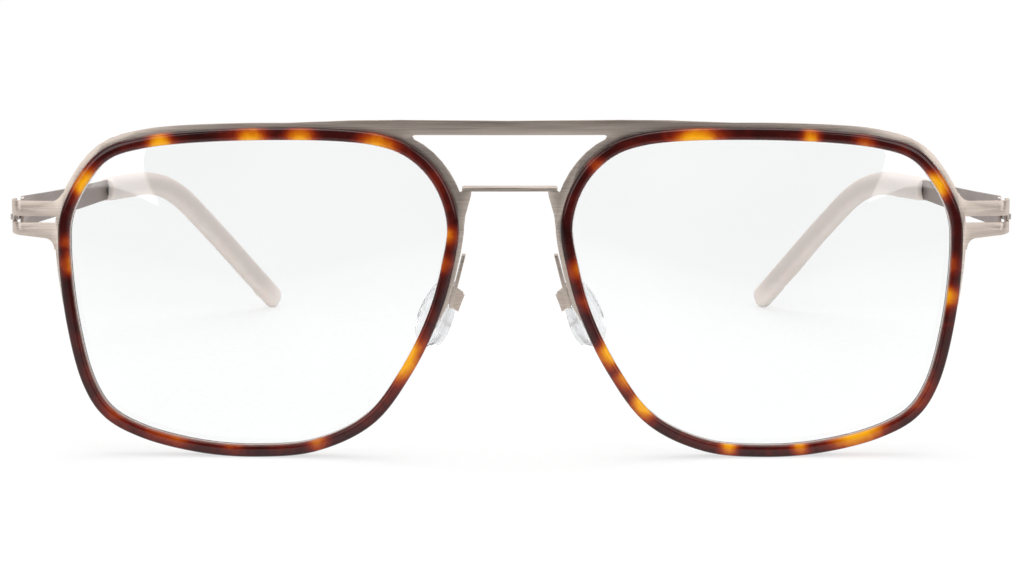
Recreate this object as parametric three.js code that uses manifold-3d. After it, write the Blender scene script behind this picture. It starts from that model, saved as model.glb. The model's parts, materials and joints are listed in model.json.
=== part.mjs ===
// Half-rim eyeglasses: a bent sheet-metal front with a double bridge, two acetate rims, two clear
// lenses, push-on nose pads, and two folding sheet-metal temples with soft tips.
// Millimetres. +X is to the right seen from the front, +Y runs back along the temples, +Z is up.
// The glasses stand open on the rims and the temple tips, with the origin under their middle.
import * as THREE from 'three';
import { mergeVertices } from 'three/addons/utils/BufferGeometryUtils.js';
import Module from 'manifold-3d';

const wasm = await Module();
wasm.setup();

// Front and rims
const wrapRadius = 600; // bow of the front, seen from above
const lensWidth = 55.3; // opening of a rim, across
const lensHeight = 44.9; // opening of a rim, up
const lensGap = 18.24; // between the two openings, at the nose
const rimFace = 1.76; // width of the acetate, seen from the front
const rimDepth = 3.2; // front to back
const rimRound = 0.5; // rounding of the acetate's outer edges
const lensBevel = 0.42; // how far the lens edge reaches into the rim
const lensEdge = 1.6; // thickness of a lens
const lensDome = 1.7; // how far the lens bulges forward
const fitGap = 0.1; // between pieces that fit into each other

// Sheet metal
const sheet = 0.55; // thickness of the front sheet
const sheetSetback = 1.2; // from the face of the acetate back to the sheet
const sheetBite = 0.7; // how far the sheet reaches into the acetate
const bendRadius = 1.8; // outside of the bend from the front into the side arm
const endPiece = 6.82; // from a rim out to the outer face of the side arm
const armEnd = 8.6; // where a side arm ends, behind the face of the acetate
const barHeight = 2.05; // top bar of the bridge
const barReveal = 1.08; // top bar above the top of the rims
const lowerBridgeDrop = 9.13; // from the top of the rims down to the folded lower bridge
const lowerBridgeDepth = 2.5; // how far it is folded back
const cheekWidth = 1.92; // metal beside the rim, just under the lower bridge
const openingCorner = 4.95; // corner of the opening between the bridges, from the lens opening
const notch = 0.46; // from the rim to the end of the lower bridge

// End pieces and hinges
const lugDrop = 11.1; // from the top of the rims down to the upper bar
const upperBar = 2.2;
const slotHeight = 1; // between the bars, where the hinge clip sits
const lowerBar = 1.9;
const clipSheet = 0.3;
const clipTail = 4.2; // along the temple

// Temples
const templeSheet = 0.5;
const templeFrontHeight = 4.5;
const templeRearHeight = 3.2; // where the soft tip starts
const templeRise = 0.25; // top of the temple above the upper bar
const metalLength = 75.4; // hinge to the start of the soft tip
const tipHeight = 3.9;
const tipThickness = 2.8;
const coreHeight = 1.7; // strip of the temple inside the tip
const coreStop = 5; // solid tip behind the end of that strip
const tipRest = 0.83; // middle of the tip's end above the ground
// the temple's middle line, from the hinge: back, in towards the head, down
const templeRun = [[0, 0, 0], [26.3, 0.52, 2.57], [56.3, 1.92, 5.22], [78.2, 3.71, 6.88]];
const earBend = { back: 98.2, inward: 8.9, down: 8.85 };
const tipReach = { back: 129.5, inward: 27.6 };

// Nose pads
const padPlace = { outward: 3.4, back: 3.9, down: 27.8 }; // from the nose side, back and top of the rim
const padLength = 11;
const padWidth = 7;
const padThickness = 2.5;
const padSplay = 39; // degrees, back edges apart
const padLean = 21; // degrees, lower ends apart
const padArmDrop = 18.42; // from the top of the rims down to the arm's flange
const padArmLength = 8;
const tongueWidth = 2.4; // the arm's tongue inside the pad
const tongueReach = 0.2; // its end, from the middle of the pad
const tongueUp = 3.2; // its middle above the pad's

// Sizes that follow
const rimTop = lensHeight + 2 * rimFace;
const eyeCentre = { x: (lensGap + lensWidth) / 2, z: rimTop / 2 };
const frontWidth = lensGap + 2 * (lensWidth + rimFace + endPiece);
const noseSide = lensGap / 2 - rimFace; // nose side of a rim
const lugTop = rimTop - lugDrop;
const slotTop = lugTop - upperBar;
const slotBottom = slotTop - slotHeight;
const lugBottom = slotBottom - lowerBar;
const barTop = rimTop + barReveal;
const pivotRadius = sheet / 2;
const pivot = { x: frontWidth / 2 - pivotRadius, y: armEnd - pivotRadius - 0.1 };
const clipRadius = pivotRadius + 0.08 + clipSheet; // outside of the clip's curl
const templeFace = pivot.x - clipRadius - 0.05; // outer face of the temple at the hinge
const templeStart = pivot.y + 0.45;

// The eye shape, anticlockwise from the bottom, in half widths and half heights of the opening
const eyeShape = [
  [0.01, -1], [0.31, -0.978], [0.62, -0.885], [0.79, -0.77], [0.882, -0.595], [0.966, -0.18], [1, 0.3],
  [0.985, 0.49], [0.908, 0.69], [0.786, 0.862], [0.6, 0.94], [-0.014, 1], [-0.633, 0.968],
  [-0.807, 0.882], [-0.935, 0.71], [-1, 0.46], [-0.966, 0.165], [-0.893, -0.14], [-0.754, -0.488],
  [-0.566, -0.793], [-0.291, -0.96],
];
const rimSteps = 72;

const steel = { color: 0xb5aca4, roughness: 0.38, metalness: 1 };
const acetate = { color: 0x5a1c10, roughness: 0.15, metalness: 0 };
const clearLens = { color: 0xf2f6f6, roughness: 0.05, metalness: 0, transparent: true, opacity: 0.35 };
const clearSilicone = { color: 0xe8eae8, roughness: 0.3, metalness: 0 };
const milkySilicone = { color: 0xe2d9d4, roughness: 0.5, metalness: 0 };

// Shared helpers

// a geometry with merged corners and nothing but positions
function bare(geometry) {
  geometry.deleteAttribute('normal');
  geometry.deleteAttribute('uv');
  return mergeVertices(geometry, 1e-5);
}

function solid(geometry) {
  const plain = bare(geometry);
  const vertProperties = new Float32Array(plain.attributes.position.array);
  const triVerts = new Uint32Array(plain.index.array);
  return new wasm.Manifold(new wasm.Mesh({ numProp: 3, vertProperties, triVerts }));
}

function geometryOf(manifold) {
  const { vertProperties, triVerts } = manifold.getMesh();
  const geometry = new THREE.BufferGeometry();
  geometry.setAttribute('position', new THREE.BufferAttribute(new Float32Array(vertProperties), 3));
  geometry.setIndex(new THREE.BufferAttribute(new Uint32Array(triVerts), 1));
  return geometry;
}

// moves every corner of a geometry to where a function of its old place puts it
function reshape(geometry, place) {
  const positions = geometry.attributes.position;
  for (let i = 0; i < positions.count; i += 1) {
    const moved = place(positions.getX(i), positions.getY(i), positions.getZ(i));
    positions.setXYZ(i, moved.x, moved.y, moved.z);
  }
  return geometry;
}

// turns the faces of a closed geometry to point out, if a mirrored move left them pointing in
function facingOut(geometry) {
  const corner = (i) => new THREE.Vector3().fromBufferAttribute(geometry.attributes.position, i);
  const index = geometry.index.array;
  let volume = 0;
  for (let i = 0; i < index.length; i += 3) {
    volume += corner(index[i]).dot(corner(index[i + 1]).cross(corner(index[i + 2])));
  }
  if (volume < 0) {
    for (let i = 0; i < index.length; i += 3) [index[i], index[i + 1]] = [index[i + 1], index[i]];
  }
  return geometry;
}

// the same piece for the other side
function mirrored(geometry) {
  return facingOut(reshape(geometry.clone(), (x, y, z) => new THREE.Vector3(-x, y, z)));
}

// a row of sections: station k of the list holds the section that place() puts there
function loft(section, stations, place) {
  const steps = stations.length - 1;
  const geometry = bare(new THREE.ExtrudeGeometry(section, { depth: steps, steps, bevelEnabled: false }));
  return facingOut(reshape(geometry, (x, y, z) => place(stations[Math.round(z)], x, y)));
}

function between(rows, at) {
  const k = rows.findIndex(([where]) => where >= at);
  if (k < 0) return rows[rows.length - 1][1];
  if (k === 0) return rows[0][1];
  const [[a, low], [b, high]] = [rows[k - 1], rows[k]];
  return low + ((high - low) * (at - a)) / (b - a);
}

function rectangle(width, height) {
  const [x, y] = [width / 2, height / 2];
  return new THREE.Shape([[-x, -y], [x, -y], [x, y], [-x, y]].map(([a, b]) => new THREE.Vector2(a, b)));
}

function oval(width, height, corners) {
  const shape = new THREE.Shape();
  for (let i = 0; i < corners; i += 1) {
    const angle = (i / corners) * 2 * Math.PI;
    const flat = (value) => Math.sign(value) * Math.abs(value) ** 0.75;
    const [x, y] = [(width / 2) * flat(Math.cos(angle)), (height / 2) * flat(Math.sin(angle))];
    if (i) shape.lineTo(x, y);
    else shape.moveTo(x, y);
  }
  return shape;
}

// The eye shape

const eyeCurve = new THREE.CatmullRomCurve3(
  eyeShape.map(([x, z]) => new THREE.Vector3(
    eyeCentre.x + (x * lensWidth) / 2, 0, eyeCentre.z + (z * lensHeight) / 2)),
  true, 'centripetal');
eyeCurve.arcLengthDivisions = 600;

// a point of the eye shape, set off outwards from the opening
function eyePoint(along, offset) {
  const turn = ((along % 1) + 1) % 1;
  const point = eyeCurve.getPointAt(turn);
  const tangent = eyeCurve.getTangentAt(turn);
  return new THREE.Vector2(point.x + tangent.z * offset, point.z - tangent.x * offset);
}

// where the set-off eye shape crosses a height, on its temple side or its nose side
function edgeAt(height, offset, side) {
  let found = null;
  for (let i = 0; i < 400; i += 1) {
    const [a, b] = [eyePoint(i / 400, offset), eyePoint((i + 1) / 400, offset)];
    if ((a.y - height) * (b.y - height) <= 0 && a.y !== b.y) {
      const x = a.x + ((b.x - a.x) * (height - a.y)) / (b.y - a.y);
      if (found === null || (side === 'temple' ? x > found : x < found)) found = x;
    }
  }
  return found;
}

// its height over a place on the top side
function topAt(x, offset) {
  let found = 0;
  for (let i = 0; i < 400; i += 1) {
    const [a, b] = [eyePoint(i / 400, offset), eyePoint((i + 1) / 400, offset)];
    if ((a.x - x) * (b.x - x) <= 0 && a.x !== b.x) {
      found = Math.max(found, a.y + ((b.y - a.y) * (x - a.x)) / (b.x - a.x));
    }
  }
  return found;
}

// bows a flat piece (x along the front, y back, z up) onto the curve of the front
function wrap(geometry) {
  return reshape(geometry, (x, y, z) => {
    const turn = x / wrapRadius;
    const radius = wrapRadius - y;
    return new THREE.Vector3(radius * Math.sin(turn), wrapRadius - radius * Math.cos(turn), z);
  });
}

// turns a profile round the eye: profile x is the offset from the opening, y the depth.
// Inside the opening the offset shrinks towards the middle of the eye.
const hub = 20;
function aroundEye(profile) {
  const lathe = new THREE.LatheGeometry(profile.map(([x, y]) => new THREE.Vector2(x + hub, y)), rimSteps);
  return wrap(reshape(bare(lathe), (x, y, z) => {
    const radius = Math.hypot(x, z);
    const along = Math.atan2(x, z) / (2 * Math.PI);
    if (radius >= hub) {
      const point = eyePoint(along, radius - hub);
      return new THREE.Vector3(point.x, y, point.y);
    }
    const rim = eyePoint(along, 0);
    const share = radius / hub;
    return new THREE.Vector3(
      eyeCentre.x + (rim.x - eyeCentre.x) * share, y, eyeCentre.z + (rim.y - eyeCentre.z) * share);
  }));
}

// Sheet front

// one face of the bowed sheet and its side arm, from the middle to the rear, seen from above
const frontFacets = 17;
function sheetFace(depth) {
  const inset = depth - sheetSetback;
  const bendX = frontWidth / 2 - bendRadius;
  const reach = wrapRadius - sheetSetback - bendRadius;
  const bendY = wrapRadius - Math.sqrt(reach ** 2 - bendX ** 2);
  const turn = Math.asin(bendX / reach);
  const points = [];
  for (let i = 0; i <= frontFacets; i += 1) {
    const angle = (turn * (i + 0.5)) / (frontFacets + 0.5);
    const radius = wrapRadius - depth;
    points.push(new THREE.Vector2(radius * Math.sin(angle), wrapRadius - radius * Math.cos(angle)));
  }
  const bendSteps = 8;
  for (let i = 1; i <= bendSteps; i += 1) {
    const angle = turn + ((Math.PI / 2 - turn) * i) / bendSteps;
    const radius = bendRadius - inset;
    points.push(new THREE.Vector2(bendX + radius * Math.sin(angle), bendY - radius * Math.cos(angle)));
  }
  points.push(new THREE.Vector2(frontWidth / 2 - inset, armEnd));
  return points;
}

// the bowed sheet as a tall band between two depths
function sheetBand(front, back) {
  const half = [sheetFace(front), sheetFace(back)];
  const other = half.map((side) => side.map((p) => new THREE.Vector2(-p.x, p.y)));
  const outline = [...other[0].reverse(), ...half[0], ...half[1].reverse(), ...other[1]];
  const depth = rimTop + 10;
  return new THREE.ExtrudeGeometry(new THREE.Shape(outline), { depth, bevelEnabled: false })
    .translate(0, 0, -5);
}

// a pattern drawn on the front (x, z), carried straight back through the band
function throughFront(points) {
  const onSheet = (x) => (wrapRadius - sheetSetback) * Math.sin(x / wrapRadius);
  const shape = new THREE.Shape(points.map((p) => new THREE.Vector2(onSheet(p.x), p.y)));
  return solid(new THREE.ExtrudeGeometry(shape, { depth: 30, bevelEnabled: false })
    .rotateX(Math.PI / 2).translate(0, 25, 0));
}

// places along the eye shape, as shares of its length from the bottom
const browStart = 0.218; // temple side, where the metal leaves the rim
const browEnd = 0.80; // nose side
// metal seen outside the acetate, along the same way
const browReveal = [
  [browStart, -0.2], [0.235, 0.2], [0.27, 0.45], [0.315, 0.75], [0.36, 0.85], [0.42, 0.9], [0.47, 0.72],
  [0.56, 0.62], [0.62, 0.7], [0.65, 1.1], [0.69, 1.15], [0.714, 0.7], [0.728, 0.6], [0.785, 0.55],
  [browEnd, -0.2],
];

function browPattern(inner, spare) {
  const steps = 64;
  const [start, end] = [browStart - spare, browEnd + spare];
  const outside = [];
  const inside = [];
  for (let i = 0; i <= steps; i += 1) {
    const along = start + ((end - start) * i) / steps;
    const reveal = spare ? 3 : between(browReveal, along);
    outside.push(eyePoint(along, rimFace + reveal));
    inside.push(eyePoint(along, inner));
  }
  return [...outside, ...inside.reverse()];
}

const at = (x, z) => new THREE.Vector2(x, z);

function bowedTo(points, corner, to, steps = 5) {
  const curve = new THREE.QuadraticBezierCurve(points[points.length - 1], corner, to);
  points.push(...curve.getPoints(steps).slice(1));
}

// half of the top bar, running out into the brow
function topBarPattern() {
  const seat = rimFace + 0.25;
  const over = (share) => eyeCentre.x + (share * lensWidth) / 2;
  const under = barTop - barHeight;
  const corner = lensGap / 2 + openingCorner;
  const points = [at(-0.1, barTop), at(-0.1, under), at(corner - 0.5, under)];
  bowedTo(points, at(corner, under), at(corner, under - 0.28), 4);
  for (const [x, reveal] of [[corner - 0.2, 1.05], [corner, 0.4]]) {
    points.push(at(x, topAt(x, rimFace + reveal)));
  }
  for (const x of [-0.68, -0.46, -0.17].map(over)) points.push(at(x, topAt(x, seat)));
  points.push(at(over(-0.1), topAt(over(-0.1), rimFace + 0.6)));
  points.push(at(over(-0.5), barTop + 0.02), at(over(-0.75), barTop + 0.12));
  return points;
}

// the cheek beside the nose that carries the lower bridge
function cheekPattern() {
  const top = rimTop - lowerBridgeDrop;
  const seat = rimFace + 0.2;
  const points = [at(noseSide - cheekWidth + 0.1, top), at(noseSide - notch, top)];
  for (const drop of [0.5, 3.5, 6.5, 9.4]) points.push(at(edgeAt(top - drop, seat, 'nose'), top - drop));
  points.push(at(noseSide + 0.14, top - 9.2), at(noseSide - 0.68, top - 5.6));
  points.push(at(noseSide - 0.91, top - 3.6), at(noseSide - cheekWidth + 0.2, top - 0.7));
  return points;
}

// both bars of an end piece, filleted into the brow
function lugPatterns() {
  const far = frontWidth;
  const root = (z) => edgeAt(z, rimFace - 0.3, 'temple');
  const edge = (z, reveal) => edgeAt(z, rimFace + reveal, 'temple');
  const upper = [at(far, slotTop), at(far, lugTop), at(edge(lugTop, 0.85) + 1.1, lugTop)];
  bowedTo(upper, at(edge(lugTop, 0.85) + 0.25, lugTop), at(edge(lugTop + 1.2, 0.86), lugTop + 1.2));
  upper.push(at(root(lugTop + 1.2), lugTop + 1.2), at(root(slotTop), slotTop));
  const fillet = 1.7;
  const under = lugBottom - 0.3;
  const lower = [at(root(slotBottom), slotBottom), at(root(under - fillet), under - fillet)];
  lower.push(at(edge(under - fillet, 0.72), under - fillet));
  bowedTo(lower, at(edge(under, 0.75) + 0.1, under), at(edge(under, 0.75) + fillet, under), 6);
  lower.push(at(frontWidth / 2 - 1.6, lugBottom));
  bowedTo(lower, at(frontWidth / 2 - 0.4, lugBottom + 0.05), at(frontWidth / 2 + 0.3, lugBottom + 0.35), 4);
  lower.push(at(far, lugBottom + 0.35), at(far, slotBottom));
  return [upper, lower];
}

// the lower bridge: a plate folded back from the tops of the two cheeks
function lowerBridge() {
  const [x, y, round] = [noseSide - notch, lowerBridgeDepth, 0.8];
  const shape = new THREE.Shape();
  shape.moveTo(-x, 0).lineTo(x, 0).lineTo(x, y - round).quadraticCurveTo(x, y, x - round, y);
  shape.lineTo(-x + round, y).quadraticCurveTo(-x, y, -x, y - round);
  return solid(new THREE.ExtrudeGeometry(shape, { depth: sheet, bevelEnabled: false, curveSegments: 4 })
    .translate(0, sheetSetback + 0.06, rimTop - lowerBridgeDrop - 0.05));
}

function pivotBar() {
  const bite = 0.3;
  const bar = new THREE.CylinderGeometry(pivotRadius, pivotRadius, slotHeight + 2 * bite, 12);
  return solid(bar.rotateX(Math.PI / 2).translate(pivot.x, pivot.y, slotBottom + slotHeight / 2));
}

function frontSheet() {
  const patterns = [browPattern(rimFace - sheetBite, 0), topBarPattern(), cheekPattern(), ...lugPatterns()];
  let half = throughFront(patterns[0]);
  for (const points of patterns.slice(1)) half = half.add(throughFront(points));
  half = half.intersect(solid(sheetBand(sheetSetback, sheetSetback + sheet))).add(pivotBar());
  const whole = half.add(solid(mirrored(geometryOf(half)))).add(lowerBridge());
  return geometryOf(whole);
}

// Rims and lenses

const vDepth = lensBevel + 0.13; // groove for the lens
const vMiddle = rimDepth / 2 + 0.1;

function rim() {
  const [face, back, round] = [rimFace, rimDepth, rimRound];
  const ring = aroundEye([
    [0, 0.35], [0.12, 0.08], [0.4, 0], [face - round - 0.1, 0], [face - 0.15, 0.15], [face, round],
    [face, back - round], [face - 0.15, back - 0.15], [face - round, back], [0.35, back], [0, back - 0.3],
    [0, vMiddle + vDepth], [vDepth, vMiddle], [0, vMiddle - vDepth], [0, 0.35],
  ].reverse());
  const groove = solid(sheetBand(sheetSetback - fitGap, sheetSetback + sheet + fitGap))
    .intersect(throughFront(browPattern(rimFace - sheetBite - fitGap, 0.006)));
  return geometryOf(solid(ring).subtract(groove));
}

function lens() {
  const [front, back] = [vMiddle - lensEdge / 2, vMiddle + lensEdge / 2];
  const edge = -0.08;
  const dome = (share) => lensDome * (1 - share ** 2);
  const rings = [0.25, 0.5, 0.75];
  const profile = [[-hub, front - dome(0)]];
  for (const share of rings) profile.push([hub * (share - 1), front - dome(share)]);
  profile.push([edge, front], [edge, vMiddle - lensBevel - 0.05], [lensBevel - 0.03, vMiddle]);
  profile.push([edge, vMiddle + lensBevel + 0.05], [edge, back]);
  for (const share of [...rings].reverse()) profile.push([hub * (share - 1), back - dome(share)]);
  profile.push([-hub, back - dome(0)]);
  return aroundEye(profile.reverse());
}

// Temples, drawn along one centre line from the hinge to the tip

const templeTop = lugTop + templeRise;
const hinge = new THREE.Vector3(
  templeFace - templeSheet / 2, templeStart, templeTop - templeFrontHeight / 2);
const fromHinge = (back, inward, down) => (
  new THREE.Vector3(hinge.x - inward, hinge.y + back, hinge.z - down));
const { back, inward, down } = earBend;
const tipDown = hinge.z - tipRest;
const templeLine = new THREE.CatmullRomCurve3([
  ...templeRun.map((place) => fromHinge(...place)),
  fromHinge(back - 8, inward - 3.45, down - 0.85),
  fromHinge(back - 2, inward - 1.15, down - 0.45),
  fromHinge(back + 2, inward + 1.2, down + 0.6),
  fromHinge(back + 6, inward + 3.6, down + 2.75),
  fromHinge(back + 12, inward + 7.2, down + 7.8),
  fromHinge(tipReach.back, tipReach.inward, tipDown),
], false, 'centripetal');
templeLine.arcLengthDivisions = 800;
const templeLength = templeLine.getLength();

// a place beside the centre line: out from the head, and up
function besideTemple(along, out, up) {
  const share = THREE.MathUtils.clamp(along / templeLength, 0, 1);
  const point = templeLine.getPointAt(share);
  const tangent = templeLine.getTangentAt(share);
  const outward = new THREE.Vector3().crossVectors(tangent, new THREE.Vector3(0, 0, 1)).normalize();
  const upward = new THREE.Vector3().crossVectors(outward, tangent);
  return point.addScaledVector(outward, out).addScaledVector(upward, up);
}

function stationsFrom(start, end, spacing) {
  const count = Math.max(1, Math.round(Math.abs(end - start) / spacing));
  return Array.from({ length: count + 1 }, (_, i) => start + ((end - start) * i) / count);
}

const bendFrom = metalLength + 4;
const coreEnd = templeLength - coreStop;

function temple() {
  const shoulder = metalLength + 0.02;
  const heights = [
    [0, templeFrontHeight - 1.2], [0.25, templeFrontHeight - 0.4], [0.8, templeFrontHeight],
    [metalLength, templeRearHeight], [shoulder, coreHeight], [coreEnd - 1, coreHeight], [coreEnd, 0.9],
  ];
  const stations = [0, 0.25, 0.8, ...stationsFrom(6, metalLength, 7), shoulder,
    ...stationsFrom(bendFrom, coreEnd - 1, 3.4), coreEnd];
  return loft(rectangle(templeSheet, 1), stations, (along, x, y) => (
    besideTemple(along, x, y * between(heights, along))));
}

function templeTip() {
  const start = metalLength + fitGap;
  const round = 1.6;
  const swell = [[start, 0.9], [start + 0.4, 0.98], [start + 4, 1], [templeLength, 1]];
  const size = (along) => {
    const past = Math.max(0, along - (templeLength - round)) / round;
    return between(swell, along) * Math.sqrt(1 - 0.9 * past ** 2);
  };
  const stations = [start, start + 0.4, ...stationsFrom(start + 4, templeLength - round, 3.4),
    templeLength - round / 2, templeLength];
  const sleeve = loft(oval(tipThickness, tipHeight, 14), stations, (along, x, y) => (
    besideTemple(along, x * size(along), y * size(along))));
  const pocket = loft(
    rectangle(templeSheet + 2 * fitGap, coreHeight + 2 * fitGap),
    [start - 1, ...stationsFrom(bendFrom, coreEnd - 1, 3.4), coreEnd + 0.3],
    besideTemple);
  return geometryOf(solid(sleeve).subtract(solid(pocket)));
}

// the spring clip that curls round the pivot bar and runs back along the temple
function hingeClip() {
  const height = slotHeight - 2 * fitGap;
  const outline = (radius) => stationsFrom(30, -180, 17).map((degrees) => {
    const angle = THREE.MathUtils.degToRad(degrees);
    return at(pivot.x + radius * Math.cos(angle), pivot.y + radius * Math.sin(angle));
  });
  const tail = pivot.y + clipTail;
  const outside = [...outline(clipRadius), at(pivot.x - clipRadius, tail)];
  const inside = [...outline(clipRadius - clipSheet), at(pivot.x - clipRadius + clipSheet, tail)];
  const shape = new THREE.Shape([...outside, ...inside.reverse()]);
  return bare(new THREE.ExtrudeGeometry(shape, { depth: height, bevelEnabled: false })
    .translate(0, 0, slotBottom + fitGap));
}

// Nose pads and their arms

const padCentre = new THREE.Vector3(
  noseSide + padPlace.outward, rimDepth + padPlace.back, rimTop - padPlace.down);
const lean = THREE.MathUtils.degToRad(padLean);
const splay = THREE.MathUtils.degToRad(padSplay);
const padUp = new THREE.Vector3(-Math.sin(lean), 0, Math.cos(lean));
const padBack = new THREE.Vector3(Math.sin(splay), Math.cos(splay), 0).projectOnPlane(padUp).normalize();
const padOut = new THREE.Vector3().crossVectors(padBack, padUp);
const onPad = (out, back, up) => padCentre.clone()
  .addScaledVector(padOut, out).addScaledVector(padBack, back).addScaledVector(padUp, up);

function nosePad() {
  const widths = [[-1, 0.3], [-0.93, 0.62], [-0.75, 0.88], [-0.45, 1], [-0.1, 0.97], [0.35, 0.8], [0.7, 0.6],
    [0.92, 0.38], [1, 0.16]];
  const body = loft(oval(padThickness, padWidth, 16), widths.map(([up]) => up), (up, x, y) => {
    const width = between(widths, up);
    return onPad(x * Math.min(1, width * 1.25), y * width, (up * padLength) / 2);
  });
  return geometryOf(solid(body).subtract(solid(padTongue(fitGap))));
}

// the arm's sheet: a flange beside the rim, then a tongue turned out into the pad
const flangeMiddle = rimTop - padArmDrop - padArmLength / 2;
const noseEdge = (z) => edgeAt(z, rimFace, 'nose');
const flangeTilt = Math.atan2(noseEdge(flangeMiddle - 2.5) - noseEdge(flangeMiddle + 2.5), 5);
const flangeX = edgeAt(flangeMiddle, rimFace + 0.72 + sheet / 2, 'nose');
const flangeUp = new THREE.Vector3(-Math.sin(flangeTilt), 0, Math.cos(flangeTilt));
const tongueRoot = -padWidth / 2 - 0.7; // where the tongue begins
const webHeight = 3; // the bend of sheet between the flange's foot and the tongue

function padTongue(spare) {
  const section = rectangle(sheet + 2 * spare, tongueWidth + 2 * spare);
  return loft(section, [tongueRoot, tongueReach + spare], (back, x, y) => onPad(x, back, y + tongueUp));
}

function padArm() {
  const flange = loft(rectangle(sheet, padArmLength), [sheetSetback + 0.02, sheetSetback + 2], (y, x, up) => (
    new THREE.Vector3(flangeX + x, y, flangeMiddle).addScaledVector(flangeUp, up)));
  const foot = (padArmLength - webHeight) / 2;
  const start = new THREE.Vector3(flangeX, sheetSetback + 1.8, flangeMiddle).addScaledVector(flangeUp, -foot);
  const run = onPad(0, tongueRoot + 0.15, tongueUp).sub(start);
  const across = new THREE.Vector3().crossVectors(run, flangeUp).normalize();
  const web = loft(rectangle(sheet, webHeight), [0, 1], (share, x, up) => (
    start.clone().addScaledVector(run, share).addScaledVector(across, x).addScaledVector(flangeUp, up)));
  return geometryOf(solid(flange).add(solid(web)).add(solid(padTongue(0))));
}

// The glasses

const glasses = new THREE.Group();

function addPiece(name, geometry, look) {
  const mesh = new THREE.Mesh(geometry, new THREE.MeshStandardMaterial(look));
  mesh.name = name;
  glasses.add(mesh);
}

function addPair(name, geometry, look) {
  addPiece(`${name}_right`, geometry, look);
  addPiece(`${name}_left`, mirrored(geometry), look);
}

addPiece('front_sheet', frontSheet(), steel);
addPair('rim', rim(), acetate);
addPair('lens', lens(), clearLens);
addPair('nose_pad_arm', padArm(), steel);
addPair('nose_pad', nosePad(), clearSilicone);
addPair('temple', temple(), steel);
addPair('hinge_clip', hingeClip(), steel);
addPair('temple_tip', templeTip(), milkySilicone);

const box = new THREE.Box3().setFromObject(glasses);
glasses.position.set(0, -(box.min.y + box.max.y) / 2, -box.min.z);

export default glasses;
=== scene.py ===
import json
import math

import bmesh
import bpy
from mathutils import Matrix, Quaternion, Vector


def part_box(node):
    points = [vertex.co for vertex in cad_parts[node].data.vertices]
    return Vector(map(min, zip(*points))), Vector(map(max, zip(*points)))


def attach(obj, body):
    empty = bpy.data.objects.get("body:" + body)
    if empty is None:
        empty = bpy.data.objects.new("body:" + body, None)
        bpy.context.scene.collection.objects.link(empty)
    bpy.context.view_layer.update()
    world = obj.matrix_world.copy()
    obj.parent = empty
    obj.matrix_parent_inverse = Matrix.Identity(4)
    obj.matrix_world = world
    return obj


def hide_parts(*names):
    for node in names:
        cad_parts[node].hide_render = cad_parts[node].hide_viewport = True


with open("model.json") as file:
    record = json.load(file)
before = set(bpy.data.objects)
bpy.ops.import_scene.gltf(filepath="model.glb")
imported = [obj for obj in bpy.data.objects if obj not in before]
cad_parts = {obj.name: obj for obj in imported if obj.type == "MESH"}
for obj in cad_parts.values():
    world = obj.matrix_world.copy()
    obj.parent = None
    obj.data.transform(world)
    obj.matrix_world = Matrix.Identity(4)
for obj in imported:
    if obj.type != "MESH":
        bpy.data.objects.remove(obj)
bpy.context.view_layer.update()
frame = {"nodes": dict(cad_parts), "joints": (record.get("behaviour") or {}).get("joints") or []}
print("frame loaded:", len(frame["nodes"]), "nodes")

mm = 0.001  # every size below is in millimetres, and every mesh is in metres

# the front that everything sits on, as in the solid model
front = {
    "bow": 600,  # radius of the front, seen from above
    "lensGap": 18.24,
    "lensWidth": 55.3,
    "lensHeight": 44.9,
    "rimFace": 1.76,
    "rimDepth": 3.2,
    "sheetSetback": 1.2,  # from the face of the rims back to the metal
    "sheet": 0.55,
    "play": 0.02,  # keeps the rounded rims inside the box of the solids
}
# the face of the rims at the middle
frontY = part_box("front_sheet")[0].y / mm - front["sheetSetback"] + front["play"]

camera = {"place": (5.26, -589.4, 108.0), "lookAt": (0.32, -69.4, 25.32), "lens": 127.76, "roll": -0.08}


def addCamera():
    bpy.ops.object.camera_add(location=Vector(camera["place"]) * mm)
    cam = bpy.context.active_object
    towards = Vector(camera["lookAt"]) - Vector(camera["place"])
    turn = towards.to_track_quat("-Z", "Y") @ Quaternion((0, 0, 1), math.radians(camera["roll"]))
    cam.rotation_euler = turn.to_euler()
    cam.data.lens = camera["lens"]
    cam.data.sensor_width = 36
    cam.data.clip_start = 0.01
    bpy.context.scene.camera = cam


def linearColour(hexCode):
    parts = [int(hexCode[i:i + 2], 16) / 255 for i in (1, 3, 5)]
    return tuple(p / 12.92 if p <= 0.04045 else ((p + 0.055) / 1.055) ** 2.4 for p in parts) + (1.0,)


# one node, with its settings, its input values and the outputs that feed it
def addNode(tree, kind, settings=None, values=None, links=None):
    node = tree.nodes.new("ShaderNode" + kind)
    for name, value in (settings or {}).items():
        setattr(node, name, value)
    for socket, value in (values or {}).items():
        node.inputs[socket].default_value = value
    for socket, source in (links or {}).items():
        tree.links.new(source, node.inputs[socket])
    return node


def setRamp(node, stops):
    ramp = node.color_ramp
    while len(ramp.elements) < len(stops):
        ramp.elements.new(0.5)
    for element, (place, hexCode) in zip(ramp.elements, stops):
        element.position = place
        element.color = linearColour(hexCode)


def newMaterial(name):
    material = bpy.data.materials.new(name)
    material.use_nodes = True
    tree = material.node_tree
    tree.nodes.clear()
    return material, tree


studio = {
    "fillWorld": 0.5,
    "darkRoom": 0.12,  # the room in front, as polished pieces show it
    "floorNear": 0.66,  # glow that lifts the paper to white, near the object and far off
    "floorFar": 0.86,
    "paper": ("#9C9C9C", "#A4A4A4"),
}


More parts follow.
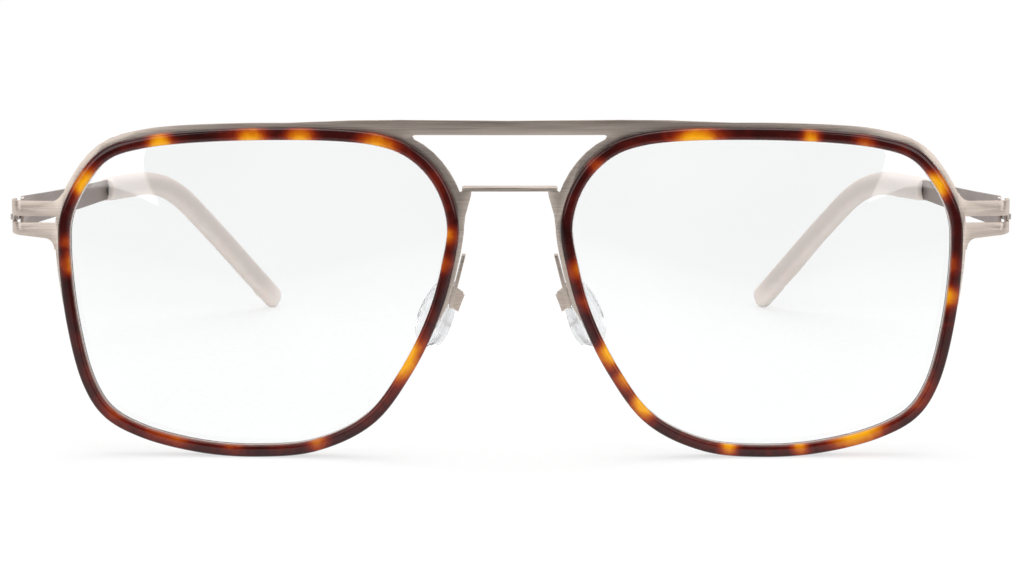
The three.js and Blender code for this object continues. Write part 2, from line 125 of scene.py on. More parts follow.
# 1 for rays that look at the background straight, in a reflection or through glass
def seenRays(tree, path):
    shiny = addNode(tree, "Math", {"operation": "ADD"}, links={
        0: path.outputs["Is Camera Ray"], 1: path.outputs["Is Glossy Ray"]})
    return addNode(tree, "Math", {"operation": "ADD", "use_clamp": True}, links={
        0: shiny.outputs[0], 1: path.outputs["Is Transmission Ray"]})


def addStudio():
    world = bpy.data.worlds.new("studio")
    bpy.context.scene.world = world
    world.use_nodes = True
    tree = world.node_tree
    tree.nodes.clear()
    coord = addNode(tree, "TexCoord")
    axes = addNode(tree, "SeparateXYZ", links={0: coord.outputs["Generated"]})
    path = addNode(tree, "LightPath")
    # reflections see a white sweep behind the object and a dark room in front of it
    sweep = addNode(tree, "MapRange", {"interpolation_type": "SMOOTHSTEP"}, {
        "From Min": -0.35, "From Max": 0.1, "To Min": studio["darkRoom"], "To Max": 1.0},
        {"Value": axes.outputs["Y"]})
    seenIn = addNode(tree, "Mix", {"data_type": "FLOAT"}, {2: 1.0},
                     {0: path.outputs["Is Glossy Ray"], 3: sweep.outputs[0]})
    fill = addNode(tree, "Background", values={"Color": (1, 1, 1, 1), "Strength": studio["fillWorld"]})
    seen = addNode(tree, "Background", values={"Color": (1, 1, 1, 1)}, links={"Strength": seenIn.outputs[0]})
    rays = seenRays(tree, path)
    mix = addNode(tree, "MixShader", links={0: rays.outputs[0], 1: fill.outputs[0], 2: seen.outputs[0]})
    addNode(tree, "OutputWorld", links={0: mix.outputs[0]})

    bpy.ops.mesh.primitive_plane_add(size=16)
    floor = bpy.context.active_object
    floor.name = "floor"
    paper, tree = newMaterial("white_paper_sweep")
    coord = addNode(tree, "TexCoord")
    axes = addNode(tree, "SeparateXYZ", links={0: coord.outputs["Object"]})
    path = addNode(tree, "LightPath")
    rays = seenRays(tree, path)
    grain = addNode(tree, "TexNoise", values={"Scale": 900.0, "Detail": 3.0},
                    links={0: coord.outputs["Object"]})
    tone = addNode(tree, "ValToRGB", links={0: grain.outputs[0]})
    setRamp(tone, [(0.3, studio["paper"][0]), (0.7, studio["paper"][1])])
    # the paper is pale for the light it throws back, and half glow, half shade where it is looked at
    bounce = addNode(tree, "Mix", {"data_type": "RGBA"}, {6: linearColour("#E6E6E5")},
                     {0: rays.outputs[0], 7: tone.outputs[0]})
    inFront = addNode(tree, "MapRange", {"interpolation_type": "SMOOTHSTEP"}, {
        "From Min": -0.3, "From Max": -0.09, "To Min": 0.1, "To Max": 1.0}, {"Value": axes.outputs["Y"]})
    dim = addNode(tree, "Mix", {"data_type": "FLOAT"}, {2: 1.0},
                  {0: path.outputs["Is Glossy Ray"], 3: inFront.outputs[0]})
    shade = addNode(tree, "Mix", {"data_type": "RGBA", "blend_type": "MULTIPLY"}, {0: 1.0},
                    {6: bounce.outputs[2], 7: dim.outputs[0]})
    matt = addNode(tree, "BsdfDiffuse", links={0: shade.outputs[2]})
    apart = addNode(tree, "VectorMath", {"operation": "LENGTH"}, links={0: coord.outputs["Object"]})
    far = addNode(tree, "MapRange", values={
        "From Min": 0.2, "From Max": 1.6, "To Min": studio["floorNear"], "To Max": studio["floorFar"]},
        links={"Value": apart.outputs["Value"]})
    glowing = addNode(tree, "Math", {"operation": "MULTIPLY"}, links={0: rays.outputs[0], 1: far.outputs[0]})
    dimmed = addNode(tree, "Math", {"operation": "MULTIPLY"},
                     links={0: glowing.outputs[0], 1: dim.outputs[0]})
    glow = addNode(tree, "Emission", links={"Strength": dimmed.outputs[0]})
    both = addNode(tree, "AddShader", links={0: matt.outputs[0], 1: glow.outputs[0]})
    addNode(tree, "OutputMaterial", links={0: both.outputs[0]})
    floor.data.materials.append(paper)

    lamps = [  # name, place, towards, width, height, watts
        ("top_softbox", (0.0, 0.1, 0.95), (0, 0, 0), 1.1, 0.8, 4.6),
        ("left_softbox", (-0.55, -0.78, 0.36), (0, 0, 0.02), 0.5, 0.7, 2.6),
        ("right_softbox", (0.55, -0.78, 0.36), (0, 0, 0.02), 0.5, 0.7, 2.6),
    ]
    for name, place, towards, width, height, watts in lamps:
        bpy.ops.object.light_add(type="AREA", location=place)
        lamp = bpy.context.active_object
        lamp.name = name
        lamp.rotation_euler = (Vector(towards) - Vector(place)).to_track_quat("-Z", "Y").to_euler()
        lamp.data.shape = "RECTANGLE"
        lamp.data.size = width
        lamp.data.size_y = height
        lamp.data.energy = watts


addCamera()
addStudio()
print("camera, floor and lamps made")


# Stainless steel sheet, brushed along its length: a warm grey with fine lines and stretched highlights
def brushedSteel(name, tones, edgeTint):
    material, tree = newMaterial(name)
    coord = addNode(tree, "TexCoord")
    # scratches 0.14 mm apart and 10 mm long, twice as coarse as real ones so that they show
    stretch = (1 / (10 * mm), 1 / (10 * mm), 1 / (0.14 * mm))
    lines = addNode(tree, "Mapping", values={"Scale": stretch}, links={0: coord.outputs["Object"]})
    scratches = addNode(tree, "TexNoise", values={"Scale": 1.0, "Detail": 2.0}, links={0: lines.outputs[0]})
    broad = addNode(tree, "TexNoise", values={"Scale": 1 / (14 * mm), "Detail": 2.0},
                    links={0: coord.outputs["Object"]})
    tone = addNode(tree, "ValToRGB", links={0: scratches.outputs[0]})
    setRamp(tone, tones)
    mottle = addNode(tree, "MapRange", values={
        "From Min": 0.3, "From Max": 0.7, "To Min": 0.9, "To Max": 1.0}, links={"Value": broad.outputs[0]})
    colour = addNode(tree, "Mix", {"data_type": "RGBA", "blend_type": "MULTIPLY"}, {0: 1.0},
                     {6: tone.outputs[0], 7: mottle.outputs[0]})
    rough = addNode(tree, "MapRange", values={
        "From Min": 0.3, "From Max": 0.7, "To Min": 0.35, "To Max": 0.47},
        links={"Value": scratches.outputs[0]})
    bump = addNode(tree, "Bump", values={"Strength": 0.25, "Distance": 0.012 * mm},
                   links={"Height": scratches.outputs[0]})
    tangent = addNode(tree, "Tangent", {"direction_type": "RADIAL", "axis": "Z"})
    steel = addNode(tree, "BsdfPrincipled", values={
        "Metallic": 1.0, "Anisotropic": 0.6, "Anisotropic Rotation": 0.25, "Specular Tint": edgeTint},
        links={"Base Color": colour.outputs[2], "Roughness": rough.outputs[0], "Normal": bump.outputs[0],
               "Tangent": tangent.outputs[0]})
    addNode(tree, "OutputMaterial", links={0: steel.outputs[0]})
    return material


# Cellulose acetate, block-cut and polished: clear amber clouded with near-black red brown under a gloss
def tortoiseAcetate(name):
    material, tree = newMaterial(name)
    coord = addNode(tree, "TexCoord")
    # the amber attribute holds the patches together with painted shade across the face, darker towards the
    # metal
    patchAndPaintedShade = addNode(tree, "Attribute", {"attribute_name": "amber"})
    # clouds about 4 mm across that ruffle the patches' edges, and specks about 1 mm
    clouds = addNode(tree, "TexNoise", values={"Scale": 1 / (4 * mm), "Detail": 2.0, "Distortion": 0.4},
                     links={0: coord.outputs["Object"]})
    specks = addNode(tree, "TexNoise", values={"Scale": 1 / (1.0 * mm), "Detail": 2.0},
                     links={0: coord.outputs["Object"]})
    swing = addNode(tree, "MapRange", values={
        "From Min": 0.25, "From Max": 0.75, "To Min": -0.12, "To Max": 0.12},
        links={"Value": clouds.outputs[0]})
    fleck = addNode(tree, "MapRange", values={
        "From Min": 0.3, "From Max": 0.7, "To Min": -0.03, "To Max": 0.03},
        links={"Value": specks.outputs[0]})
    first = addNode(tree, "Math", {"operation": "ADD"}, links={0: patchAndPaintedShade.outputs["Fac"], 1: swing.outputs[0]})
    total = addNode(tree, "Math", {"operation": "ADD", "use_clamp": True},
                    links={0: first.outputs[0], 1: fleck.outputs[0]})
    colour = addNode(tree, "ValToRGB", links={0: total.outputs[0]})
    setRamp(colour, [(0.0, "#230605"), (0.16, "#3E0C09"), (0.34, "#6B1A0A"), (0.52, "#9C3A06"),
                     (0.72, "#CF7206"), (0.95, "#F4A90C")])
    # painted highlight: a light tan on the wall round the lens stands in for the light it reflects
    painted_wall_light = addNode(tree, "Attribute", {"attribute_name": "painted_wall_light"})
    shown = addNode(tree, "Mix", {"data_type": "RGBA"}, {7: linearColour("#A87F6C")},
                    {0: painted_wall_light.outputs["Fac"], 6: colour.outputs[0]})
    rough = addNode(tree, "MapRange", values={
        "From Min": 0.3, "From Max": 0.7, "To Min": 0.05, "To Max": 0.1}, links={"Value": specks.outputs[0]})
    acetate = addNode(tree, "BsdfPrincipled", values={"IOR": 1.48, "Specular IOR Level": 0.4},
                      links={"Base Color": shown.outputs[2], "Roughness": rough.outputs[0]})
    addNode(tree, "OutputMaterial", links={0: acetate.outputs[0]})
    return material


# glass or clear plastic that lets the lamps through, so that it throws no dark shadow
def letLampsThrough(tree, shader, tint):
    path = addNode(tree, "LightPath")
    clear = addNode(tree, "BsdfTransparent", values={0: tint})
    mix = addNode(tree, "MixShader", links={
        0: path.outputs["Is Shadow Ray"], 1: shader.outputs[0], 2: clear.outputs[0]})
    addNode(tree, "OutputMaterial", links={0: mix.outputs[0]})


# CR-39 demo lens, cast and polished: clear, faintly grey, mirror smooth
def clearLens(name):
    material, tree = newMaterial(name)
    coord = addNode(tree, "TexCoord")
    haze = addNode(tree, "TexNoise", values={"Scale": 1 / (25 * mm), "Detail": 1.0},
                   links={0: coord.outputs["Object"]})
    tone = addNode(tree, "ValToRGB", links={0: haze.outputs[0]})
    setRamp(tone, [(0.3, "#FAFBFB"), (0.7, "#FDFEFE")])
    glass = addNode(tree, "BsdfPrincipled", values={
        "Roughness": 0.0, "IOR": 1.5, "Transmission Weight": 1.0, "Specular IOR Level": 0.3},
        links={"Base Color": tone.outputs[0]})
    letLampsThrough(tree, glass, (0.97, 0.97, 0.97, 1.0))
    return material


# Clear silicone rubber, moulded: soft satin gloss, faintly milky where it is thick
def clearSilicone(name):
    material, tree = newMaterial(name)
    coord = addNode(tree, "TexCoord")
    haze = addNode(tree, "TexNoise", values={"Scale": 1 / (1.5 * mm), "Detail": 2.0},
                   links={0: coord.outputs["Object"]})
    tone = addNode(tree, "ValToRGB", links={0: haze.outputs[0]})
    setRamp(tone, [(0.3, "#EEF0F1"), (0.7, "#F8F9FA")])
    rough = addNode(tree, "MapRange", values={"From Min": 0.3, "From Max": 0.7, "To Min": 0.1, "To Max": 0.2},
                    links={"Value": haze.outputs[0]})
    rubber = addNode(tree, "BsdfPrincipled", values={"IOR": 1.41, "Transmission Weight": 0.92},
                     links={"Base Color": tone.outputs[0], "Roughness": rough.outputs[0]})
    letLampsThrough(tree, rubber, (0.85, 0.85, 0.85, 1.0))
    return material


# Milky silicone rubber, moulded over the temple: warm white, matt, the metal core showing faintly through
def milkySilicone(name):
    material, tree = newMaterial(name)
    coord = addNode(tree, "TexCoord")
    core = addNode(tree, "Attribute", {"attribute_name": "core"})
    cloud = addNode(tree, "TexNoise", values={"Scale": 1 / (4 * mm), "Detail": 2.0},
                    links={0: coord.outputs["Object"]})
    tone = addNode(tree, "ValToRGB", links={0: cloud.outputs[0]})
    setRamp(tone, [(0.3, "#F7E9E3"), (0.7, "#FBF0EA")])
    colour = addNode(tree, "Mix", {"data_type": "RGBA"}, {7: linearColour("#DED4CF")},
                     {0: core.outputs["Fac"], 6: tone.outputs[0]})
    fine = addNode(tree, "TexNoise", values={"Scale": 1 / (0.25 * mm), "Detail": 2.0},
                   links={0: coord.outputs["Object"]})
    bump = addNode(tree, "Bump", values={"Strength": 0.15, "Distance": 0.02 * mm},
                   links={"Height": fine.outputs[0]})
    rubber = addNode(tree, "BsdfPrincipled", values={
        "Roughness": 0.5, "IOR": 1.41, "Subsurface Weight": 0.5, "Subsurface Scale": 0.8 * mm,
        "Subsurface Radius": (1.0, 0.8, 0.7)},
        links={"Base Color": colour.outputs[2], "Normal": bump.outputs[0]})
    addNode(tree, "OutputMaterial", links={0: rubber.outputs[0]})
    return material


frontSteel = brushedSteel("brushed_stainless_front", [(0.3, "#C4B6AB"), (0.7, "#DDD0C5")],
                          (0.9, 0.88, 0.86, 1.0))
# painted shade: the temples and hinge clips get a copy of the same steel painted darker, with darker edges
shadedTempleSteel = brushedSteel("brushed_stainless_temple_painted_shade", [(0.3, "#B0A7A2"), (0.7, "#CAC1BC")],
                           (0.5, 0.47, 0.47, 1.0))
tortoise = tortoiseAcetate("polished_tortoise_acetate")
lensClear = clearLens("clear_cr39_lens")
padClear = clearSilicone("clear_moulded_silicone")
tipMilky = milkySilicone("milky_moulded_silicone")
print("materials made")


def setMaterial(piece, material):
    piece.data.materials.clear()
    piece.data.materials.append(material)


# extrudes a circle ring by ring, each ring set in its place; the ends are joined or closed
def ringLoft(name, rings, joined=False):
    bpy.ops.object.select_all(action="DESELECT")
    bpy.ops.mesh.primitive_circle_add(vertices=len(rings[0]), radius=1)
    piece = bpy.context.active_object
    piece.name = name
    piece.data.name = name
    bpy.ops.object.mode_set(mode="EDIT")
    bpy.ops.mesh.select_mode(type="VERT")
    mesh = bmesh.from_edit_mesh(piece.data)
    mesh.verts.ensure_lookup_table()
    loop = list(mesh.verts)
    for vert, place in zip(loop, rings[0]):
        vert.co = place
    for ring in rings[1:]:
        spots = {tuple(round(c, 7) for c in vert.co): k for k, vert in enumerate(loop)}
        bmesh.update_edit_mesh(piece.data)
        bpy.ops.mesh.select_all(action="DESELECT")
        mesh = bmesh.from_edit_mesh(piece.data)
        for vert in loop:
            vert.select = True
        mesh.select_flush(True)
        bpy.ops.mesh.extrude_edges_move()
        mesh = bmesh.from_edit_mesh(piece.data)
        fresh = [vert for vert in mesh.verts if vert.select]
        loop = [None] * len(ring)
        for vert in fresh:
            loop[spots[tuple(round(c, 7) for c in vert.co)]] = vert
        for vert, place in zip(loop, ring):
            vert.co = place
    bmesh.update_edit_mesh(piece.data)
    bpy.ops.mesh.select_all(action="DESELECT")
    bpy.ops.mesh.select_non_manifold()
    if joined:
        bpy.ops.mesh.bridge_edge_loops()
    else:
        bpy.ops.mesh.edge_face_add()
    bpy.ops.mesh.select_all(action="SELECT")
    bpy.ops.mesh.normals_make_consistent(inside=False)
    bpy.ops.object.mode_set(mode="OBJECT")
    return piece


def smooth(piece, degrees):
    bpy.ops.object.select_all(action="DESELECT")
    piece.select_set(True)
    bpy.context.view_layer.objects.active = piece
    bpy.ops.object.shade_smooth_by_angle(angle=math.radians(degrees))


curveSteps = 40  # short lines between two given points


# a smooth curve through points, closed or open, as short lines with their running length
def curveThrough(points, closed):
    count = len(points)
    fine = []
    spans = count if closed else count - 1
    for k in range(spans):
        if closed:
            p0, p1, p2, p3 = (points[(k + j - 1) % count] for j in range(4))
        else:
            p1, p2 = points[k], points[k + 1]
            p0 = points[k - 1] if k else p1 * 2 - p2
            p3 = points[k + 2] if k + 2 < count else p2 * 2 - p1
        t0 = 0.0
        t1 = t0 + math.sqrt((p1 - p0).length)
        t2 = t1 + math.sqrt((p2 - p1).length)
        t3 = t2 + math.sqrt((p3 - p2).length)
        for j in range(curveSteps):
            t = t1 + (t2 - t1) * j / curveSteps
            a1 = p0 * ((t1 - t) / (t1 - t0)) + p1 * ((t - t0) / (t1 - t0))
            a2 = p1 * ((t2 - t) / (t2 - t1)) + p2 * ((t - t1) / (t2 - t1))
            a3 = p2 * ((t3 - t) / (t3 - t2)) + p3 * ((t - t2) / (t3 - t2))
            b1 = a1 * ((t2 - t) / (t2 - t0)) + a2 * ((t - t0) / (t2 - t0))
            b2 = a2 * ((t3 - t) / (t3 - t1)) + a3 * ((t - t1) / (t3 - t1))
            fine.append(b1 * ((t2 - t) / (t2 - t1)) + b2 * ((t - t1) / (t2 - t1)))
    fine.append(points[0].copy() if closed else points[-1].copy())
    lengths = [0.0]
    for a, b in zip(fine, fine[1:]):
        lengths.append(lengths[-1] + (b - a).length)
    return fine, lengths


def pointAt(curve, share):
    fine, lengths = curve
    want = lengths[-1] * min(max(share, 0.0), 1.0)
    low, high = 0, len(lengths) - 1
    while high - low > 1:
        middle = (low + high) // 2
        if lengths[middle] <= want:
            low = middle
        else:
            high = middle
    step = lengths[high] - lengths[low]
    return fine[low].lerp(fine[high], (want - lengths[low]) / step if step else 0.0)


# the eye shape, anticlockwise from the bottom, in half widths and half heights of the opening
eyeShape = [
    (0.01, -1), (0.31, -0.978), (0.62, -0.885), (0.79, -0.77), (0.882, -0.595), (0.966, -0.18), (1, 0.3),
    (0.985, 0.49), (0.908, 0.69), (0.786, 0.862), (0.6, 0.94), (-0.014, 1), (-0.633, 0.968),
    (-0.807, 0.882), (-0.935, 0.71), (-1, 0.46), (-0.966, 0.165), (-0.893, -0.14), (-0.754, -0.488),
    (-0.566, -0.793), (-0.291, -0.96),
]
eyeCentre = Vector((
    (front["lensGap"] + front["lensWidth"]) / 2, 0, front["lensHeight"] / 2 + front["rimFace"]))
eyeCurve = curveThrough([
    eyeCentre + Vector((x * front["lensWidth"] / 2, 0, z * front["lensHeight"] / 2))
    for x, z in eyeShape], True)


# a point of the eye shape in millimetres, set off outwards from the opening
def eyePoint(along, offset):
    turn = along % 1.0
    point = pointAt(eyeCurve, turn)
    tangent = (pointAt(eyeCurve, (turn + 0.002) % 1.0) - pointAt(eyeCurve, (turn - 0.002) % 1.0)).normalized()
    return Vector((point.x + tangent.z * offset, 0, point.z - tangent.x * offset))


# bows a flat place onto the curve of the front, and moves it to its place in metres
def bowed(x, y, z, side):
    turn = x / front["bow"]
    radius = front["bow"] - y
    across = side * radius * math.sin(turn)
    back = front["bow"] - radius * math.cos(turn) + frontY
    return Vector((across, back, max(z, 0))) * mm


def setAttribute(piece, name, values):
    attribute = piece.data.attributes.new(name, "FLOAT", "POINT")
    attribute.data.foreach_set("value", values)


rim = {
    "steps": 240,  # places round the eye
    "grooveFrom": 0.214,  # where the metal brow sits in the rim
    "grooveTo": 0.804,
    "groove": 0.8,
    "patchEdge": 2.4,  # how sharply an amber patch ends
    "painted_wall_light": 0.7,  # how strongly the wall round the lens is painted light tan, a painted highlight
}


def rimProfile(grooved):
    face, back = front["rimFace"], front["rimDepth"]
    deep = rim["groove"] if grooved else 0.012
    low, high = front["sheetSetback"] - 0.1, front["sheetSetback"] + front["sheet"] + 0.1
    vMiddle = back / 2 + 0.1
    return [
        (0, 0.62), (0.03, 0.4), (0.11, 0.2), (0.25, 0.07), (0.42, 0.015), (0.62, 0),
        (face - 0.72, 0), (face - 0.5, 0.02), (face - 0.3, 0.09), (face - 0.14, 0.22), (face - 0.04, 0.42),
        (face, 0.66), (face, low), (face - deep, low), (face - deep, high), (face, high),
        (face, back - 0.5), (face - 0.05, back - 0.28), (face - 0.16, back - 0.12),
        (face - 0.34, back - 0.02), (face - 0.5, back), (0.4, back), (0.22, back - 0.04),
        (0.08, back - 0.14), (0, back - 0.32),
        (0, vMiddle + 0.55), (0.55, vMiddle), (0, vMiddle - 0.55),
    ]


def makeRim(side, name, patches):
    steps = rim["steps"]
    profiles = []
    alongs = [k / steps for k in range(steps)]
    for along in alongs:
        profiles.append(rimProfile(rim["grooveFrom"] <= along <= rim["grooveTo"]))
    rings = []
    for k in range(len(profiles[0])):
        ring = []
        for along, profile in zip(alongs, profiles):
            offset, depth = profile[k]
            spot = eyePoint(along, offset)
            ring.append(bowed(spot.x, depth, spot.z, side))
        rings.append(ring)
    piece = ringLoft(name, rings, joined=True)
    length = eyeCurve[1][-1]
    strengths = []
    for along in alongs:
        amber = 0.0
        for centre, strength, width in patches:
            gap = (along - centre + 0.5) % 1.0 - 0.5
            amber = max(amber, strength * math.exp(-abs(gap * length / width) ** rim["patchEdge"]))
        strengths.append(amber)
    middles = [eyePoint(along, front["rimFace"] / 2) for along in alongs]
    values = []
    paintedWallLights = []
    for vert in piece.data.vertices:
        x, z = side * vert.co.x / mm, vert.co.z / mm
        near = min(range(steps), key=lambda k: (middles[k].x - x) ** 2 + (middles[k].z - z) ** 2)
        spots = [(k, (near + turn) % steps) for k in range(len(rings)) for turn in (-1, 0, 1)]
        layer, station = min(spots, key=lambda spot: (rings[spot[0]][spot[1]] - vert.co).length_squared)
        offset, depth = profiles[station][layer]
        across = offset / front["rimFace"]
        # painted light and shade on top of the amber patches: the half of the face next to the lens is
        # painted lighter, with the patches strongest there, and the half towards the metal is painted darker
        values.append(0.2 + strengths[station] * (0.95 - 0.4 * across) - 0.14 * across)
        # painted highlight, a light tan, on the inner wall round the lens
        paintedWallLights.append(rim["painted_wall_light"] if offset < 0.05 and depth > 0.5 else 0.0)
    setAttribute(piece, "amber", values)
    setAttribute(piece, "painted_wall_light", paintedWallLights)
    smooth(piece, 40)
    setMaterial(piece, tortoise)
    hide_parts(name.replace("tortoise_", ""))
    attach(piece, "front")


# amber patches round each rim: share of the way round from the bottom, temple side first; brightness;
# half width in millimetres
rightPatches = [
    (0.032, 0.7, 1.3), (0.085, 0.95, 4.4), (0.15, 0.3, 3), (0.243, 0.75, 1.7), (0.27, 0.3, 1.5),
    (0.343, 1, 2.2), (0.42, 0.45, 1.7), (0.466, 0.85, 1.4), (0.565, 0.95, 3.7), (0.655, 0.4, 1.2),
    (0.75, 0.5, 1.6),
    (0.78, 0.3, 1.5), (0.83, 0.95, 2.2), (0.857, 0.6, 2), (0.885, 0.95, 2.2), (0.97, 0.85, 1.4),
]
leftPatches = [
    (0.02, 0.25, 2), (0.08, 0.4, 4), (0.13, 0.2, 3), (0.27, 0.55, 1.6), (0.29, 0.35, 1), (0.345, 1, 2.2),
    (0.423, 0.95, 2), (0.503, 0.85, 2.6), (0.545, 0.85, 2.1), (0.612, 0.8, 3.1), (0.67, 0.25, 2),
    (0.72, 0.65, 1.4), (0.745, 0.35, 1.3), (0.836, 0.95, 3.8), (0.945, 0.45, 1.8),
]
makeRim(1, "tortoise_rim_right", rightPatches)
makeRim(-1, "tortoise_rim_left", leftPatches)
print("rims made")

lens = {"edge": 1.6, "dome": 1.7, "bevel": 0.42, "steps": 160}


def makeLens(side, name):
    middle = front["rimDepth"] / 2 + 0.1
    faceFront, faceBack = middle - lens["edge"] / 2, middle + lens["edge"] / 2
    shares = [0.03, 0.15, 0.3, 0.45, 0.6, 0.75, 0.88, 0.96]
    profile = [(share, None, faceFront) for share in shares]
    profile += [(None, -0.08, faceFront), (None, -0.08, middle - lens["bevel"] - 0.05),
                (None, lens["bevel"] - 0.03, middle), (None, -0.08, middle + lens["bevel"] + 0.05),
                (None, -0.08, faceBack)]
    profile += [(share, None, faceBack) for share in reversed(shares)]
    rings = []
    for share, offset, depth in profile:
        ring = []
        for k in range(lens["steps"]):
            along = k / lens["steps"]
            if share is None:
                spot = eyePoint(along, offset)
                ring.append(bowed(spot.x, depth, spot.z, side))
            else:
                spot = eyeCentre.lerp(eyePoint(along, 0), share)
                ring.append(bowed(spot.x, depth - lens["dome"] * (1 - share ** 2), spot.z, side))
        rings.append(ring)
    piece = ringLoft(name, rings)
    smooth(piece, 30)
    setMaterial(piece, lensClear)
    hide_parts(name.replace("clear_", ""))
    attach(piece, "front")


makeLens(1, "clear_lens_right")
makeLens(-1, "clear_lens_left")
print("lenses made")

metal = {"edge": 0.05}  # how far the edges of the sheet are broken


# a merged copy of a sheet-metal solid, its sharp edges broken and its bends smooth
def makeMetal(node, name, material, body):
    mesh = frame["nodes"][node].data.copy()
    piece = bpy.data.objects.new(name, mesh)
    bpy.context.scene.collection.objects.link(piece)
    bpy.ops.object.select_all(action="DESELECT")
    piece.select_set(True)
    bpy.context.view_layer.objects.active = piece
    bpy.ops.object.mode_set(mode="EDIT")
    bpy.ops.mesh.select_all(action="SELECT")
    bpy.ops.mesh.remove_doubles(threshold=0.001 * mm)
    bpy.ops.mesh.dissolve_limited(angle_limit=math.radians(0.4))
    bpy.ops.object.mode_set(mode="OBJECT")
    bevel = piece.modifiers.new("edges", "BEVEL")
    bevel.width = metal["edge"] * mm
    bevel.segments = 2
    bevel.limit_method = "ANGLE"
    bevel.angle_limit = math.radians(40)
    bevel.use_clamp_overlap = True
    bpy.ops.object.modifier_apply(modifier=bevel.name)
    smooth(piece, 40)
    setMaterial(piece, material)
    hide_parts(node)
    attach(piece, body)


makeMetal("front_sheet", "brushed_front_sheet", frontSteel, "front")
for side in ("right", "left"):
    makeMetal("nose_pad_arm_" + side, "nose_pad_sheet_arm_" + side, frontSteel, "front")
    makeMetal("temple_" + side, "brushed_temple_" + side, shadedTempleSteel, "temple_" + side)
    makeMetal("hinge_clip_" + side, "hinge_spring_clip_" + side, shadedTempleSteel, "temple_" + side)
print("sheet metal made")

tip = {
    "height": 3.9,
    "thickness": 2.8,
    "start": 75.5,  # along the temple from the hinge
    "core": (0.7, 1.9),  # slot for the temple's end, thickness and height
    "coreStop": 4.7,  # solid rubber behind the slot
    "round": 1.9,
    "around": 32,
}
# middle line of a temple from its hinge: back, inward, down
templeRun = [
    (0, 0, 0), (26.3, 0.52, 2.57), (56.3, 1.92, 5.22), (78.2, 3.71, 6.88), (90.2, 5.45, 8.0),
    (96.2, 7.75, 8.4), (100.2, 10.1, 9.45), (104.2, 12.5, 11.6), (110.2, 16.1, 16.65), (129.5, 27.6, 34.49),
]


def makeTip(side, name):
    pivot = Vector(next(j["pos_m"] for j in frame["joints"] if j["name"] == "fold_right")) / mm
    hinge = pivot + Vector((-0.955, 0.45, 0.7))
    line = curveThrough([hinge + Vector((-inward, back, -down)) for back, inward, down in templeRun], False)
    length = line[1][-1]

    def beside(along, out, up):
        share = min(max(along / length, 0.0), 1.0)
        tangent = (pointAt(line, share + 0.004) - pointAt(line, share - 0.004)).normalized()
        outward = tangent.cross(Vector((0, 0, 1))).normalized()
        spot = pointAt(line, share) + outward * out + outward.cross(tangent) * up
        return Vector((side * spot.x, spot.y, spot.z)) * mm

    corners = [2 * math.pi * k / tip["around"] for k in range(tip["around"])]

    def soften(value, power):
        return math.copysign(abs(value) ** power, value)

    rings = []
    slotEnd = length - tip["coreStop"]
    count = 16
    for k in range(count + 1):
        along = slotEnd + (tip["start"] + 0.15 - slotEnd) * k / count
        rings.append([beside(along, soften(math.cos(a), 0.3) * tip["core"][0] / 2,
                             soften(math.sin(a), 0.3) * tip["core"][1] / 2) for a in corners])
    outside = [(tip["start"], 0.8), (tip["start"] + 0.1, 0.9), (tip["start"] + 0.35, 0.95)]
    outside += [(tip["start"] + 0.35 + step, 0.95 + 0.05 * min(step / 3, 1)) for step in range(1, 62)
                if tip["start"] + 0.35 + step < length - tip["round"] - 0.5]
    for k in range(9):
        past = math.sin(math.pi / 2 * k / 8)
        outside.append((length - tip["round"] * (1 - past), max(math.sqrt(1 - past ** 2), 0.12)))
    for along, size in outside:
        rings.append([beside(along, soften(math.cos(a), 0.75) * size * tip["thickness"] / 2,
                             soften(math.sin(a), 0.75) * size * tip["height"] / 2) for a in corners])
    piece = ringLoft(name, rings)
    fine = [(pointAt(line, k / 200), k / 200 * length) for k in range(100, 201)]
    values = []
    for vert in piece.data.vertices:
        spot = Vector((side * vert.co.x, vert.co.y, vert.co.z)) / mm
        middle, along = min(fine, key=lambda entry: (entry[0] - spot).length_squared)
        up = abs((spot - middle).z)
        stripe = max(0.0, 1 - (up / 1.3) ** 2)
        inside = 1 / (1 + math.exp((along - slotEnd + 0.6) * 1.4))
        values.append(inside * (0.45 + 0.55 * stripe))
    setAttribute(piece, "core", values)
    smooth(piece, 50)
    setMaterial(piece, tipMilky)
    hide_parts(name.replace("milky_", ""))
    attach(piece, "temple_right" if side > 0 else "temple_left")


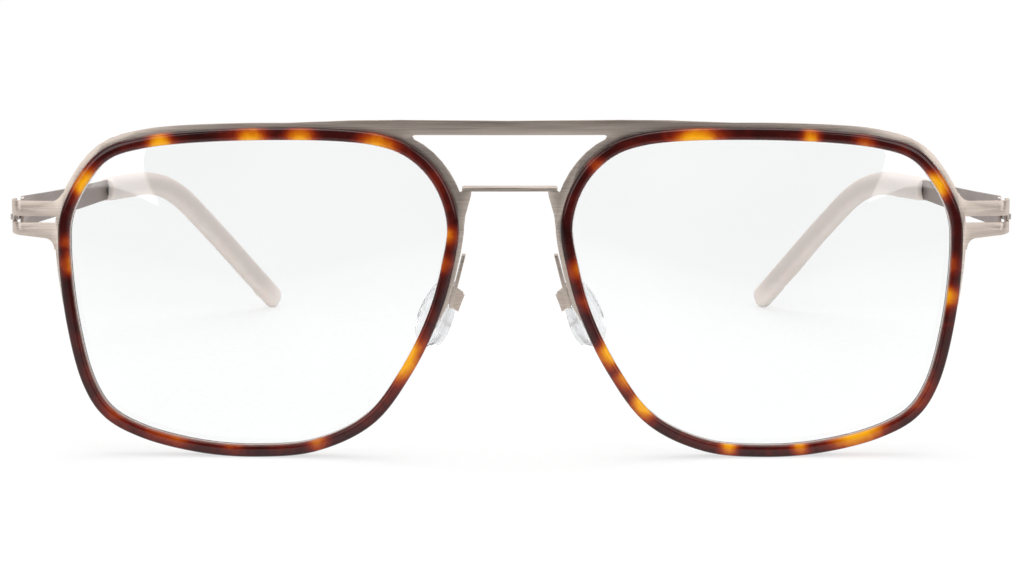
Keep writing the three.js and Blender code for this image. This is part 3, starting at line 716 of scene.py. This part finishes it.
makeTip(1, "milky_temple_tip_right")
makeTip(-1, "milky_temple_tip_left")
print("temple tips made")

pad = {
    "centre": (10.764, 7.1, 20.62),  # on the right: out from the middle, back from the front's face, up
    "length": 11,
    "width": 7,
    "thickness": 2.5,
    "splay": 39,  # degrees, back edges apart
    "lean": 21,  # degrees, lower ends apart
    "around": 72,
}


def makePad(side, name):
    lean, splay = math.radians(pad["lean"]), math.radians(pad["splay"])
    centre = Vector(pad["centre"]) + Vector((0, frontY, 0))
    up = Vector((-math.sin(lean), 0, math.cos(lean)))
    back = Vector((math.sin(splay), math.cos(splay), 0))
    back = (back - up * back.dot(up)).normalized()
    out = back.cross(up)

    def outline(angle, size):
        high = math.sin(angle)
        wide = math.copysign(abs(math.cos(angle)) ** 0.9, math.cos(angle)) * (1 - 0.2 * high)
        return wide * size * pad["width"] / 2, high * size * pad["length"] / 2

    half = pad["thickness"] / 2
    # from the middle of the face against the nose, over the edge, to the moulded channel on the other face
    section = [(0.06, half), (0.3, half * 0.99), (0.55, half * 0.93), (0.75, half * 0.82),
               (0.88, half * 0.66), (0.96, half * 0.42), (0.99, half * 0.16),
               (0.99, -half * 0.16), (0.96, -half * 0.45),
               (0.9, -half * 0.66), (0.83, -half * 0.76), (0.76, -half * 0.74), (0.72, -half * 0.58),
               (0.67, -half * 0.52), (0.62, -half * 0.6), (0.58, -half * 0.78), (0.5, -half * 0.86),
               (0.3, -half * 0.93), (0.06, -half * 0.95)]
    rings = []
    for size, thick in section:
        ring = []
        for k in range(pad["around"]):
            wide, high = outline(2 * math.pi * k / pad["around"], size)
            spot = centre - out * thick + back * wide + up * high
            ring.append(Vector((side * spot.x, spot.y, spot.z)) * mm)
        rings.append(ring)
    piece = ringLoft(name, rings)
    smooth(piece, 60)
    setMaterial(piece, padClear)
    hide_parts(name.replace("clear_", ""))
    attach(piece, "front")


makePad(1, "clear_nose_pad_right")
makePad(-1, "clear_nose_pad_left")
print("nose pads made")

bpy.context.scene.view_settings.view_transform = "Standard"
